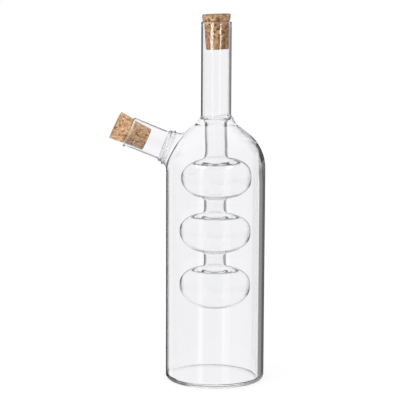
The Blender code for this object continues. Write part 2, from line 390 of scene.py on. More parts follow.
def shoulder_window(points, inset):
    """Indices of the traced points where the window starts and ends."""
    points = np.array(points)
    climbing = (points[:, 1] > window_bottom) & (points[:, 0] > body_radius - inset - 1e-6)
    start = int(np.argmax(climbing))
    past = (np.arange(len(points)) > start) & (points[:, 0] < window_top_radius - inset * math.sin(slope))
    return start, int(np.argmax(past))


air_rows, air_window = thin_out(air_points, shoulder_window(air_points, 0.0))
oil_rows, oil_window = thin_out(oil_points, shoulder_window(oil_points, body_wall))
print("rows of the air side:", len(air_rows), "and of the oil side:", len(oil_rows))

# %% [markdown]
# ## The spout: a blend of two shapes
#
# Where the spout leaves the shoulder, the flame melts both into one curved web. A Boolean union would
# leave a sharp line there. Each face is therefore a blend of two simple shapes, the shoulder turned
# about Z and the tube along its slanted axis. A distance formula for each, joined by a smooth minimum,
# gives the fillet. Two low beads go round the weld, as on the real bottle.

# %% Distance formulas
spout_rise = math.radians(22.3)
spout_axis_height = 0.1527
spout_radius = 0.0103
spout_bore = 0.0091
out_way = np.array([-math.cos(spout_rise), 0.0, math.sin(spout_rise)])
up_way = np.array([math.sin(spout_rise), 0.0, math.cos(spout_rise)])
side_way = np.array([0.0, -1.0, 0.0])
axis_start = np.array([0.0, 0.0, spout_axis_height])
tube_flare = 0.0016
flare_end = 0.0415
flare_length = 0.006
weld_places = (0.0389, 0.0362)
weld_width = 0.00050


def radii(points):
    """Distances of points from the bottle's axis."""
    return np.hypot(points[:, 0], points[:, 1])


def spout_point(along, away, angle):
    """Points by their distance along the spout's axis, their distance from it and the angle round it."""
    return axis_start + along[:, None] * out_way + away[:, None] * (
        np.cos(angle)[:, None] * up_way + np.sin(angle)[:, None] * side_way
    )


def shoulder_distance(points, inset):
    """Signed distance from the shoulder's outer face, or from one this far inside it."""
    radius = radii(points)
    across, rise = radius - (body_radius - shoulder_round), points[:, 2] - shoulder_start
    turn = np.clip(np.arctan2(rise, across), 0.0, shoulder_turn)
    size = shoulder_round - wall_at(inset, turn)
    arc = np.hypot(across, rise) - size
    cone = across * math.sin(slope) + rise * math.cos(slope) - size
    return np.where(rise <= 0, radius - (body_radius - inset), np.where(turn < shoulder_turn, arc, cone))


def tube_size(along, radius, bead):
    flare = tube_flare * smoothstep((flare_end - along) / flare_length)
    beads = sum(bead * np.exp(-(((along - place) / weld_width) ** 2)) for place in weld_places)
    return radius + flare + beads


def spout_skin(along, away, angle, inset, radius, bead, blend):
    """Negative inside the blend of shoulder and tube, positive outside."""
    shoulder = shoulder_distance(spout_point(along, away, angle), inset)
    tube = away - tube_size(along, radius, bead)
    near = np.maximum(blend - np.abs(shoulder - tube), 0.0) / blend
    return np.minimum(shoulder, tube) - near**2 * blend / 4


print("spout rises by", round(math.degrees(spout_rise), 1), "degrees")

# %% [markdown]
# ## The spout: rings from the window to the tube
#
# Walking in from the window's edge, the rings first follow the shoulder, then turn out along the tube.
# Each point is slid along a line until it meets the blended skin, found by halving the line again and
# again.

# %% Rings of the spout's root
tube_start = 0.0430
shoulder_rings = 10
weld_rings = 34
halvings = 40
nearest_along, farthest_along = 0.018, 0.043
root_margin = 0.003
SpoutFace = namedtuple("SpoutFace", "inset radius bead blend turn_radius")
outer_face = SpoutFace(0.0, spout_radius, 0.00100, 0.0036, 0.0125)
inner_face = SpoutFace(body_wall, spout_bore, -0.00045, 0.0052, 0.0130)


def solve(value, low, high):
    """Where a rising function crosses zero."""
    for _ in range(halvings):
        middle = (low + high) / 2
        inside = value(middle) < 0
        low, high = np.where(inside, middle, low), np.where(inside, high, middle)
    return (low + high) / 2


def spout_rings(edge, angles, face):
    """Rings of points from a window's edge in to the tube."""
    offset = edge - axis_start
    along, up, side = offset @ out_way, offset @ up_way, offset @ side_way
    away = np.hypot(up, side)
    start_angles = np.arctan2(side, up)
    start_angles += 2 * math.pi * np.round((angles - start_angles) / (2 * math.pi))
    shape = face[:-1]
    rings = []
    for step in range(1, shoulder_rings + 1):
        share = step / shoulder_rings
        angle = start_angles + (angles - start_angles) * smoothstep(share)
        out = away + (face.turn_radius - away) * share
        low, high = np.full_like(out, nearest_along), np.full_like(out, farthest_along)
        along = solve(lambda t: spout_skin(t, out, angle, *shape), low, high)
        rings.append(spout_point(along, out, angle))
    turn = along
    for step in range(1, weld_rings + 1):
        along = turn + (tube_start - turn) * step / weld_rings
        low, high = np.full_like(out, face.radius * 0.7), np.full_like(out, face.turn_radius + root_margin)
        out = solve(lambda a: spout_skin(along, a, angles, *shape), low, high)
        rings.append(spout_point(along, out, angles))
    return rings


print("rings on each face of the spout's root:", shoulder_rings + weld_rings)

# %% [markdown]
# ## The spout: tube and pouring lip
#
# The rest is a straight tube with the same fire-polished rim as the neck. The maker draws the lower
# side of the rim down a little while it is soft, so that a stream of oil leaves the glass cleanly.

# %% Rings of the tube
spout_length = 0.0662
lip_depth = 0.0028
lip_half_width = 52.0
lip_pull = 0.0017


def pour_lip(ring, along):
    """Draws the lower side of the rim down, strongest in the middle and at the very end."""
    share = max(0.0, (along - spout_length + lip_depth) / lip_depth)
    offset = ring - axis_start
    angle = np.degrees(np.abs(np.arctan2(offset @ side_way, -(offset @ up_way))))
    middle = np.cos(np.radians(angle / lip_half_width * 90.0)) ** 2
    pull = lip_pull * share**2 * np.where(angle < lip_half_width, middle, 0.0)
    return ring - pull[:, None] * up_way


def tube_rings(angles):
    """The straight tube out to the lip, over the rim and back down the bore."""
    outline, _ = thin_out(trace([
        (spout_radius, tube_start, 0.0),
        *rim(spout_radius, spout_bore, spout_length),
        (spout_bore, tube_start, 0.0),
    ]))
    return [pour_lip(spout_point(np.full_like(angles, along), np.full_like(angles, away), angles), along)
            for away, along in outline[1:-1]]


print("lip drawn down by", lip_pull * 1000, "mm")

# %% [markdown]
# ## One closed skin
#
# The faces of both sides are laid out row by row, leaving the windows open. The spout's rings then
# join the two windows. Every point is shared by its neighbours, so the skin is closed and light can
# tell inside from outside, which refraction needs.

# %% A mesh that grows ring by ring
class Skin:
    """Vertices and faces of the growing mesh."""

    def __init__(self):
        self.points = []
        self.faces = []

    def ring(self, points):
        first = len(self.points)
        self.points += [tuple(point) for point in points]
        return list(range(first, first + len(points)))

    def turn(self, rows, window):
        """A face of the glass turned about Z, with its window left out. Returns the window's edge."""
        angles = np.arange(columns) * 2 * math.pi / columns
        rings = [self.ring([(0.0, 0.0, rows[0][1])]) * columns]
        for radius, height in rows[1:-1]:
            places = (radius * np.cos(angles), radius * np.sin(angles), np.full(columns, height))
            rings.append(self.ring(np.stack(places, axis=1)))
        rings.append(self.ring([(0.0, 0.0, rows[-1][1])]) * columns)
        left, right = columns // 2 - window_half, columns // 2 + window_half
        top = window + window_rows
        for row, (lower, upper) in enumerate(zip(rings, rings[1:])):
            for column in range(columns):
                if not (window <= row < top and left <= column < right):
                    after = (column + 1) % columns
                    corners = (lower[column], lower[after], upper[after], upper[column])
                    self.faces.append(tuple(dict.fromkeys(corners)))
        edge = [rings[window][column] for column in range(left, right)]
        edge += [rings[row][right] for row in range(window, top)]
        edge += [rings[top][column] for column in range(right, left, -1)]
        edge += [rings[row][left] for row in range(top, window, -1)]
        return edge

    def join(self, one, two):
        for index in range(len(one)):
            after = (index + 1) % len(one)
            self.faces.append((one[index], one[after], two[after], two[index]))

    def places(self, indices):
        return np.array([self.points[index] for index in indices])


print("columns round the bottle:", columns)

# %% [markdown]
# ## What no flame leaves even
#
# Hand-made glass isn't true, and the photographed bottle shows it: its right edge is dark four times
# as wide as its left one, the bulbs don't hang in the middle, and the seal at the neck's foot is wavy.
# Three small shifts of the finished points bring this in, each fading out smoothly at its borders.

# %% Uneven wall, hanging vessel, wavy seal
bore_offset = 0.00150
wall_extra = 0.00045
vessel_shift = 0.00045
ripple_height = 0.0006
ripple_waves = ((1, 1.0), (2, 0.5), (3, 0.0))

# each edge is where a shift fades in, and over what distance
wall_edge = (0.0235, 0.007)
shoulder_edge = (0.143, 0.030)
spout_edge = (-0.0385, 0.004)
bulb_edge = (0.009, 0.009)
seal_low_edge = (0.176, 0.004)
seal_high_edge = (0.1885, 0.0025)
seal_outer_edge = (0.0112, 0.0025)
vessel_root, root_fade = 0.178, 0.015
vessel_reach, vessel_low = 0.0285, 0.045
bulb_half_height = 0.0185


def fade(value, start, length):
    return smoothstep((value - start) / length)


def set_off_centre(points):
    """Thickens the chamber's wall and moves it towards the spout, but for the base, shoulder and spout."""
    radius = radii(points)
    amount = fade(radius, *wall_edge) * (1 - fade(points[:, 2], *shoulder_edge))
    amount *= fade(points[:, 0], *spout_edge)
    moved = points.copy()
    moved[:, :2] *= (1 - wall_extra * amount / np.maximum(radius, 0.001))[:, None]
    moved[:, 0] -= bore_offset * amount
    return moved


def hang_aside(points):
    """Shifts the inner vessel sideways from the seal down, and each bulb a little more."""
    radius, height = radii(points), points[:, 2]
    inner = (radius < vessel_reach) & (height > vessel_low) & (height < vessel_root)
    shift = vessel_shift * smoothstep((vessel_root - height) / root_fade)
    for bulb in bulbs:
        shift += bulb.shift * fade(radius, *bulb_edge) * (np.abs(height - bulb.waist) < bulb_half_height)
    moved = points.copy()
    moved[inner, 0] += shift[inner]
    return moved


def ripple(points):
    """Lifts and lowers the glass gathered inside the ring seal."""
    radius, turn = radii(points), np.arctan2(points[:, 1], points[:, 0])
    amount = fade(points[:, 2], *seal_low_edge) * (1 - fade(points[:, 2], *seal_high_edge))
    amount *= 1 - fade(radius, *seal_outer_edge)
    moved = points.copy()
    moved[:, 2] += sum(ripple_height * np.sin(waves * turn + start) for waves, start in ripple_waves) * amount
    return moved


print("chamber set off centre by", bore_offset * 1000, "mm, vessel by", vessel_shift * 1000, "mm")

# %% [markdown]
# ## The glass piece
#
# Now the skin is put together, moved by the three shifts, and made a mesh object. It replaces every
# glass node of the packed model, because the sections with their small gaps are how the bottle is
# made, and the fused skin is how it looks.

# %% Build the glass
def put_in_scene(name, data):
    made = bpy.data.objects.new(name, data)
    bpy.context.scene.collection.objects.link(made)
    return made


def as_mesh(name, mesh):
    """Turns a bmesh into mesh data and frees it."""
    data = bpy.data.meshes.new(name)
    mesh.to_mesh(data)
    mesh.free()
    return data


def closed_mesh(name, points, faces):
    mesh = bmesh.new()
    verts = [mesh.verts.new(point) for point in points]
    for face in faces:
        mesh.faces.new([verts[index] for index in face])
    bmesh.ops.delete(mesh, geom=[vert for vert in mesh.verts if not vert.link_faces], context="VERTS")
    bmesh.ops.recalc_face_normals(mesh, faces=mesh.faces)
    data = as_mesh(name, mesh)
    data.shade_smooth()
    return data


def build_glass():
    skin = Skin()
    air_edge = skin.turn(air_rows, air_window)
    first_oil = len(skin.points)
    oil_edge = skin.turn(oil_rows, oil_window)
    last_oil = len(skin.points)
    count = len(air_edge)
    angles = math.pi - (np.arange(count) - window_half) * 2 * math.pi / count
    outside = spout_rings(skin.places(air_edge), angles, outer_face) + tube_rings(angles)
    inside = spout_rings(skin.places(oil_edge), angles, inner_face)
    chain = [skin.ring(ring) for ring in outside + inside[::-1]]
    for one, two in zip([air_edge] + chain, chain + [oil_edge]):
        skin.join(one, two)
    points = np.array(skin.points)
    on_oil_side = np.zeros(len(points), dtype=bool)
    on_oil_side[first_oil:last_oil] = True
    on_oil_side[chain[len(outside)][0]:] = True
    points[on_oil_side] = set_off_centre(points[on_oil_side])
    return put_in_scene("bottle_glass", closed_mesh("bottle_glass", ripple(hang_aside(points)), skin.faces))


glass = build_glass()
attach(glass, "glass")
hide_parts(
    "outer_bottle", "neck_ring_seal", "neck_tube", "inner_stem", "upper_bulb", "upper_link",
    "middle_bulb", "lower_link", "lower_bulb", "spout_weld_ring", "spout_tube",
)
print("glass faces:", len(glass.data.polygons))

# %% [markdown]
# ## Node maths that reads as Python
#
# The finishes, the corks' shape and the room are node trees, and nodes written one by one bury the sums
# they do. A small class wraps a socket and adds the Math nodes for an ordinary expression such as
# 1 - mask.

# %% Sockets
class Socket:
    """Wraps a node's output, so that node maths reads as an ordinary expression."""

    def __init__(self, socket):
        self.socket = socket

    def other(self, name):
        """Another output of the same node."""
        return Socket(self.socket.node.outputs[name])

    def maths(self, operation, *others):
        return self.calculate(operation, self, *others)

    def calculate(self, operation, *values):
        return Nodes(self.socket.id_data).add("ShaderNodeMath", {"operation": operation}, dict(enumerate(values)))

    def __add__(self, other):
        return self.maths("ADD", other)

    def __radd__(self, other):
        return self.maths("ADD", other)

    def __sub__(self, other):
        return self.maths("SUBTRACT", other)

    def __rsub__(self, other):
        return self.calculate("SUBTRACT", other, self)

    def __mul__(self, other):
        return self.maths("MULTIPLY", other)

    def __rmul__(self, other):
        return self.maths("MULTIPLY", other)

    def __truediv__(self, other):
        return self.maths("DIVIDE", other)

    def __rtruediv__(self, other):
        return self.calculate("DIVIDE", other, self)

    def __neg__(self):
        return self.maths("MULTIPLY", -1.0)


print("operators on sockets: + - * /")

# %% [markdown]
# ## Every other node
#
# Noise, ramps, shaders and the rest come from one method. It takes a node's type, then its settings,
# because some of them change which sockets the node has, and last the value or link of each socket.

# %% Nodes
class Nodes:
    """Adds nodes to a tree."""

    def __init__(self, tree):
        self.tree = tree

    def feed(self, node, inputs):
        """Sets or links a node's inputs, given by name or, where names repeat, by number."""
        for key, value in inputs.items():
            named = key if isinstance(key, int) else next(
                index for index, slot in enumerate(node.inputs) if slot.name == key and slot.enabled
            )
            if isinstance(value, Socket):
                self.tree.links.new(value.socket, node.inputs[named])
            else:
                node.inputs[named].default_value = value

    def set_stops(self, elements, stops):
        elements.remove(elements[-1])
        elements[0].position, elements[0].color = stops[0]
        for place, colour in stops[1:]:
            elements.new(place).color = colour

    def add(self, kind, settings=None, inputs=None, output=0):
        """Adds a node and returns one of its outputs. A colour ramp takes its stops as a setting."""
        node = self.tree.nodes.new(kind)
        for name, value in (settings or {}).items():
            if name == "stops":
                self.set_stops(node.color_ramp.elements, value)
            else:
                setattr(node, name, value)
        self.feed(node, inputs or {})
        return Socket(node.outputs[output]) if node.outputs else None

    def soft_step(self, value, low, high):
        """Rises softly from 0 to 1 between the two edges."""
        return self.add("ShaderNodeMapRange", {"interpolation_type": "SMOOTHSTEP"},
                        {"Value": value, "From Min": low, "From Max": high, "To Min": 0.0, "To Max": 1.0})

    def slide(self, value, low, high, start, end):
        """Goes evenly from start to end between the two edges."""
        return self.add("ShaderNodeMapRange", None,
                        {"Value": value, "From Min": low, "From Max": high, "To Min": start, "To Max": end})

    def scaled(self, vector, factor):
        return self.add("ShaderNodeVectorMath", {"operation": "SCALE"}, {0: vector, "Scale": factor})

    def mixed(self, share, one, two):
        """A colour between two others."""
        return self.add("ShaderNodeMix", {"data_type": "RGBA"}, {0: share, 6: one, 7: two}, output=2)


def new_material(name):
    """A material and the nodes of its tree."""
    material = bpy.data.materials.new(name)
    material.use_nodes = True
    return material, Nodes(material.node_tree)


print("ways to add a node:", [name for name in vars(Nodes) if not name.startswith("_")])

# %% [markdown]
# ## Clear glass
#
# Borosilicate glass has no colour to speak of. Its look comes from refraction, so the material is a
# smooth transmitting surface with this glass's index. A bump or a tint would read as plastic.

# %% Glass material
glass_index = 1.47


def glass_material():
    material, nodes = new_material("clear_glass")
    nodes.feed(material.node_tree.nodes["Principled BSDF"], {
        "Base Color": (1.0, 1.0, 1.0, 1.0),
        "Roughness": 0.0,
        "Metallic": 0.0,
        "Transmission Weight": 1.0,
        "IOR": glass_index,
    })
    return material


glass.data.materials.append(glass_material())
print("glass bends light with an index of", glass_index)

# %% [markdown]
# ## The shape of a cork
#
# Both corks are the same tapered stopper, so one node tree makes them, with its sizes as named inputs. It
# takes a plain cylinder and moves its points: each height gets its own radius, the two ends are
# rounded over, and a little noise keeps the sides from looking machined. The bore of the glass squeezes
# the part that is pushed in, and the head swells out over the lip.

# %% Cork node tree
cork_length = 0.0244
neck_inserted = 0.0192
cork_inputs = (
    ("Length", cork_length), ("Inserted", neck_inserted), ("Head Radius", 0.0102), ("End Radius", 0.0081),
    ("Squeezed Radius", 0.0089), ("Edge Round", 0.0007), ("Roughness", 0.00006), ("Seed", 0.0),
)
cylinder_sizes = {"Vertices": 96, "Side Segments": 64, "Fill Segments": 14, "Radius": 1.0, "Depth": 2.0}
squeeze_top = -0.0002
swell_edges = (-0.0004, 0.0015)
grain_scale = 900.0


def cork_radius(nodes, height, value):
    """The radius at each height, measured from the lip."""
    proud = value["Length"] - value["Inserted"]
    below = nodes.slide(height, -value["Inserted"], squeeze_top, value["End Radius"], value["Squeezed Radius"])
    taper = (value["Head Radius"] - value["End Radius"]) / value["Length"]
    above = value["Head Radius"] - (proud - height) * taper
    radius = below + (above - below) * nodes.soft_step(height, *swell_edges)

    def rounding(distance):
        left = 1.0 - (distance / value["Edge Round"]).maths("MINIMUM", 1.0)
        return (1.0 - (1.0 - left * left).maths("MAXIMUM", 0.0).maths("SQRT")) * value["Edge Round"]

    return radius - rounding(proud - height) - rounding(height + value["Inserted"])


def cork_tree(material):
    tree = bpy.data.node_groups.new("cork_shape", "GeometryNodeTree")
    for name, default in cork_inputs:
        socket = tree.interface.new_socket(name=name, in_out="INPUT", socket_type="NodeSocketFloat")
        socket.default_value = default
    tree.interface.new_socket(name="Geometry", in_out="OUTPUT", socket_type="NodeSocketGeometry")
    nodes = Nodes(tree)
    given = nodes.add("NodeGroupInput").socket.node
    value = {socket.name: Socket(socket) for socket in given.outputs if socket.name}

    cylinder = nodes.add("GeometryNodeMeshCylinder", {"fill_type": "TRIANGLE_FAN"}, cylinder_sizes, "Mesh")
    x = nodes.add("ShaderNodeSeparateXYZ", None, {0: nodes.add("GeometryNodeInputPosition")})
    y, z = x.other("Y"), x.other("Z")
    share = (z * (math.pi / 2)).maths("SINE") * 0.5 + 0.5
    height = share * value["Length"] - value["Inserted"]
    radius = cork_radius(nodes, height, value)
    place = nodes.add("ShaderNodeCombineXYZ", None, {0: x * radius, 1: y * radius, 2: height})
    turned_out = nodes.add("GeometryNodeSetPosition", None, {"Geometry": cylinder, "Position": place})

    noise = {"W": value["Seed"], "Scale": grain_scale, "Detail": 3.0}
    grain = nodes.add("ShaderNodeTexNoise", {"noise_dimensions": "4D"}, noise)
    inwards = nodes.scaled(nodes.add("GeometryNodeInputNormal"), -grain * value["Roughness"])
    roughened = nodes.add("GeometryNodeSetPosition", None, {"Geometry": turned_out, "Offset": inwards})
    real = nodes.add("GeometryNodeRealizeInstances", None, {0: roughened})
    painted = nodes.add("GeometryNodeSetMaterial", None, {"Geometry": real, "Material": material})
    nodes.add("NodeGroupOutput", None, {0: painted})
    return tree


print("inputs of the cork's tree:", [name for name, _ in cork_inputs])

# %% [markdown]
# ## Cork, made from its parts
#
# Pressed cork is granules a millimetre or two across, each with its own tone, with darker bark between
# some of them. Plain noise would look like sponge. Cells of a Voronoi pattern stand for the granules:
# their random colour sets the tone, and the distance to their borders the thin dark seams.

# %% Granules of cork
cell_scale = 760.0
bend_scale = 420.0
fine_scale = 2600.0
cell_bend = 0.0012
cell_shift = (0.0137, 0.0071, 0.0093)
seam_sharpness = 16.0
seam_depth = 0.5
seam_relief = 8.0
fine_tone = 0.3
fine_relief = 0.6
middle_tone = 0.37
bark = (0.14, 0.07, 0.03, 1.0)
cork_tones = (
    (0.0, (0.14, 0.065, 0.03, 1.0)),
    (0.18, (0.26, 0.135, 0.06, 1.0)),
    (0.36, (0.48, 0.285, 0.15, 1.0)),
    (0.7, (0.64, 0.395, 0.215, 1.0)),
    (1.0, (0.80, 0.55, 0.335, 1.0)),
)


def granules(nodes, place, seed, contrast):
    """The colour of pressed cork, and its height for the bump."""
    bend = nodes.add("ShaderNodeTexNoise", None, {"Vector": place, "Scale": bend_scale, "Detail": 2.0}, output=1)
    warped = nodes.add("ShaderNodeVectorMath", {"operation": "MULTIPLY_ADD"}, {0: bend, 1: (cell_bend,) * 3, 2: place})
    moved = nodes.add("ShaderNodeVectorMath", None, {0: warped, 1: [shift * seed for shift in cell_shift]})
    cells = nodes.add("ShaderNodeTexVoronoi", None, {"Vector": moved, "Scale": cell_scale}, output="Color")
    tone = nodes.add("ShaderNodeSeparateColor", None, {0: cells})
    seams = nodes.add("ShaderNodeTexVoronoi", {"feature": "DISTANCE_TO_EDGE"}, {"Vector": moved, "Scale": cell_scale})
    fine = nodes.add("ShaderNodeTexNoise", None, {"Vector": place, "Scale": fine_scale, "Detail": 4.0})
    shade = (tone - 0.5) * contrast + fine * fine_tone + middle_tone
    ramp = nodes.add("ShaderNodeValToRGB", {"stops": cork_tones}, {0: shade})
    dark = (1.0 - (seams * seam_sharpness).maths("MINIMUM", 1.0)) * seam_depth
    return nodes.mixed(dark, ramp, bark), (seams * seam_relief).maths("MINIMUM", 1.0) + fine * fine_relief


print("granules about", round(1000 / cell_scale, 1), "mm across")

# %% [markdown]
# ## A cork's marks, painted shade and painted highlight
#
# The two corks aren't alike, and each is painted in two tones that meet at the lip. The neck cork's
# head is darker and its part in the glass a deeper brown; the spout cork is paler, with a paler head.
# The two tones are painted shade and light, for the different light outside and inside the glass.
# Both are darker over their last 0.7 mm at the head's end. A pale line round each cork at the lip is a
# painted highlight, in place of the light that the glass rim catches. All of it is painted by the
# height along the cork's own axis, which stays with the cork when it is pulled out.

# %% Cork material
head_edges = (-0.0005, 0.0015)
end_dark_length = 0.0007
end_dark_tone = 0.6
# Painted highlight: a pale line round each cork at the lip, in place of the light that the glass rim catches.
crease_height = -0.0005
crease_half_width = 0.0008
crease_colour = (1.0, 0.93, 0.84, 1.0)
bump_distance = 0.0002


def cork_material(name, lip, axis, length_out, seed, head_tone, depth, contrast, crease):
    material, nodes = new_material(name)
    place = nodes.add("ShaderNodeTexCoord", output="Object")
    colour, relief = granules(nodes, place, seed, contrast)
    along = nodes.add("ShaderNodeVectorMath", {"operation": "DOT_PRODUCT"}, {0: place, 1: axis}, output="Value")
    height = along - float(np.dot(lip, axis))
    # Painted light and shade: the head is made darker or paler and the part in the glass a deeper brown, for the
    # different light outside and inside the glass.
    head = nodes.slide(height, *head_edges, 1.0, head_tone)
    # Darker towards the head's end, over its last stretch.
    end_dark = nodes.slide(height, length_out - end_dark_length, length_out, 1.0, end_dark_tone)
    power = nodes.slide(height, *head_edges, depth, 1.0)
    deeper = nodes.add("ShaderNodeGamma", None, {"Color": colour, "Gamma": power})
    toned = nodes.scaled(deeper, head * end_dark)
    # Painted highlight: the pale line at the lip, standing in for the light caught by the glass rim.
    line = (1.0 - (height - crease_height).maths("ABSOLUTE") / crease_half_width).maths("MAXIMUM", 0.0) * crease
    bump = nodes.add("ShaderNodeBump", None, {"Strength": 0.5, "Distance": bump_distance, "Height": relief})
    nodes.feed(material.node_tree.nodes["Principled BSDF"], {
        "Base Color": nodes.mixed(line, toned, crease_colour),
        "Roughness": 0.8,
        "Specular IOR Level": 0.25,
        "Normal": bump,
    })
    return material


print("each cork darkens over its last", end_dark_length * 1000, "mm")

# %% [markdown]
# ## The two corks
#
# Each cork is made upright at the origin, with its lip mark at height zero, then its mesh is moved into
# its mouth. Corks never sit quite straight, and these lean by two to three degrees. The modifier only
# makes the shape: its result becomes a plain mesh, which is what the frame and the export need.

# %% Build the corks
head_overhang = 0.0010
end_clearance = 0.0011
squeeze = 0.00035
spout_inserted = 0.0139
neck_lean = math.radians(-2.3)
spout_lean = math.radians(3.0)


def make_cork(name, bore, inserted, place, seed, **looks):
    axis = place.to_3x3() @ Vector((0.0, 0.0, 1.0))
    finish = cork_material(name, place.translation, axis, cork_length - inserted, seed, **looks)
    shape_tree = cork_tree(finish)
    carrier = put_in_scene(name + "_carrier", bpy.data.meshes.new(name + "_carrier"))
    step = carrier.modifiers.new("shape", "NODES")
    step.node_group = shape_tree
    wanted = {
        "Inserted": inserted, "Head Radius": bore + head_overhang, "End Radius": bore - end_clearance,
        "Squeezed Radius": bore - squeeze, "Seed": seed,
    }
    for socket in shape_tree.interface.items_tree:
        if socket.name in wanted:
            step[socket.identifier] = wanted[socket.name]
    plain = bpy.data.meshes.new_from_object(carrier.evaluated_get(bpy.context.evaluated_depsgraph_get()))
    bpy.data.objects.remove(carrier)
    plain.transform(place)
    plain.shade_smooth()
    plain.name = name
    cork = put_in_scene(name, plain)
    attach(cork, name.replace("_stopper", ""))
    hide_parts(name.replace("_stopper", ""))
    return cork


neck_place = Matrix.Translation((0.0, 0.0, lip_height)) @ Matrix.Rotation(neck_lean, 4, "Y")
spout_lip = axis_start + out_way * spout_length
spout_turn = spout_rise - math.pi / 2 + spout_lean
spout_place = Matrix.Translation(Vector(spout_lip)) @ Matrix.Rotation(spout_turn, 4, "Y")
# Each cork gets its own painted head light, painted shade in the glass and painted lip highlight here.
neck_stopper = make_cork(
    "neck_cork_stopper", neck_bore, neck_inserted, neck_place, seed=3.0,
    head_tone=0.88, depth=1.16, contrast=0.95, crease=0.4,
)
spout_stopper = make_cork(
    "spout_cork_stopper", spout_bore, spout_inserted, spout_place, seed=5.0,
    head_tone=1.10, depth=1.02, contrast=0.78, crease=0.8,
)
print("cork faces:", len(neck_stopper.data.polygons), len(spout_stopper.data.polygons))

# %% [markdown]
# ## The room
#
# Glass is seen by what it bends and mirrors, so most of its look is the room. Photographers hang white
# and black cards round a bottle. Here the world's colour does their work, because a card would be seen
# through the glass, and because the world can answer each kind of light by itself. Light Path counts
# the steps: Glossy Depth the mirrorings, Transmission Depth the faces passed. Light caught in the
# bottle's wall passes two faces, light caught in the inner vessel's wall six.
#
# From here on an edge is a pair of places, where a soft change starts and where it ends. They are
# parts of a direction that is one long: up, to the right and ahead as the camera sees them.

# %% What a ray has been through
view_turn = math.radians(3.0)
bottle_faces = 2
vessel_faces = 6
vessel_mirrorings = 2
up_left_edge = (0.12, 0.24)
up_left_floor = (0.02, 0.10)
up_left_slant = 1.3


class Ray:
    """Where a ray points and how it got there, as sockets of the world's tree."""

    def __init__(self, nodes):
        self.nodes = nodes
        self.x = nodes.add("ShaderNodeSeparateXYZ", None, {0: nodes.add("ShaderNodeTexCoord", output="Generated")})
        self.y, self.up = self.x.other("Y"), self.x.other("Z")
        self.ahead = self.x * math.sin(view_turn) + self.y * math.cos(view_turn)
        self.right = self.x * math.cos(view_turn) - self.y * math.sin(view_turn)
        self.side = self.right.maths("ABSOLUTE")
        self.slanted = self.up - self.right * up_left_slant
        self.up_left = self.above(self.slanted, up_left_edge) * self.above(self.up, up_left_floor)
        self.mirrorings = nodes.add("ShaderNodeLightPath", output="Glossy Depth")
        self.faces = self.mirrorings.other("Transmission Depth")
        self.scattered = self.more_than(self.mirrorings.other("Diffuse Depth"), 0)
        self.mirrored = self.more_than(self.mirrorings, 0)
        self.once = 1.0 - self.more_than(self.mirrorings, 1)
        self.unbent = self.at_most(self.faces, 0)
        self.in_bottle = self.exactly(self.faces, bottle_faces)
        self.in_vessel = self.exactly(self.faces, vessel_faces) * self.at_most(self.mirrorings, vessel_mirrorings)

    def more_than(self, counter, count):
        return counter.maths("GREATER_THAN", count + 0.5)

    def at_most(self, counter, count):
        return counter.maths("LESS_THAN", count + 0.5)

    def exactly(self, counter, count):
        return self.at_most((counter - count).maths("ABSOLUTE"), 0)

    def above(self, value, edge):
        return self.nodes.soft_step(value, *edge)

    def below(self, value, edge):
        return 1.0 - self.above(value, edge)


print("faces passed by caught light:", bottle_faces, "in the bottle,", vessel_faces, "in the vessel")

# %% [markdown]
# ## The plain room
#
# Light mirrored once on a wall sees a bright room, brighter ahead than behind the camera. Light that
# never passed a face, so is mirrored by the outermost one, sees a dim room: a bright one would lay a
# milky veil over the whole bottle.

# %% Brightness of the plain room
room_behind_camera = 0.70
dark_behind_camera = 0.22
room_ahead = 0.92
dim_ahead = 0.45
ahead_edge = (-0.6, 0.5)


def plain_room(ray):
    behind = room_behind_camera - ray.unbent * (room_behind_camera - dark_behind_camera)
    far = room_ahead - ray.unbent * (room_ahead - dim_ahead) * ray.below(ray.slanted, up_left_edge)
    return behind + ray.above(ray.ahead, ahead_edge) * (far - behind)


print("plain room:", room_behind_camera, "behind the camera,", room_ahead, "ahead")

# %% [markdown]
# ## Light caught in the bottle's wall
#
# Inside a wall, light is mirrored from face to face and leaves in odd directions. Most of them are made
# dark, and that draws the bands along the edges. Directions far to the side stay bright and set how
# wide the bands are. Light that the wall guided upwards through many mirrorings stays bright as well,
# since it draws the light line along the foot.

# %% Caught in the bottle's wall
wing_edge = (0.60, 0.68)
wing_end = (0.84, 0.90)
wing_front = (0.3, 0.4)
wing_floor = (-0.34, -0.28)
neck_right = (0.3, 0.5)
neck_floor = (-0.14, -0.10)
neck_narrowing = 0.8
guided_floor = (-0.05, 0.05)
guided_side = (0.30, 0.45)
caught_floor = (-0.60, -0.45)
caught_top = (0.40, 0.55)
table_front = (0.2, 0.4)
table_left = (-0.14, -0.06)
table_top = (-0.32, -0.26)


def wings(ray):
    """Directions far to the left and right, narrower on the neck's right side."""
    neck_side = ray.above(ray.right, neck_right) * ray.above(ray.up, neck_floor)
    both = ray.above(ray.side, wing_edge) * ray.below(ray.side, wing_end)
    both = both * ray.above(ray.ahead, wing_front) * ray.above(ray.up, wing_floor) * ray.once
    return both * (1.0 - neck_side * neck_narrowing)


def guided_up(ray):
    return ray.above(ray.up, guided_floor) * ray.below(ray.side, guided_side)


def caught_in_bottle(ray):
    table = ray.above(ray.ahead, table_front) * ray.above(ray.right, table_left) * ray.below(ray.up, table_top)
    low_once = ray.above(ray.up, caught_floor) * ray.below(ray.up, caught_top) * (1.0 - table) * ray.once
    low_often = ray.below(ray.up, caught_top) * (1.0 - ray.once) * (1.0 - guided_up(ray))
    return ray.in_bottle * (low_once + low_often) * (1.0 - ray.up_left)


print("wings start", round(math.degrees(math.asin(wing_edge[0]))), "degrees from straight ahead")

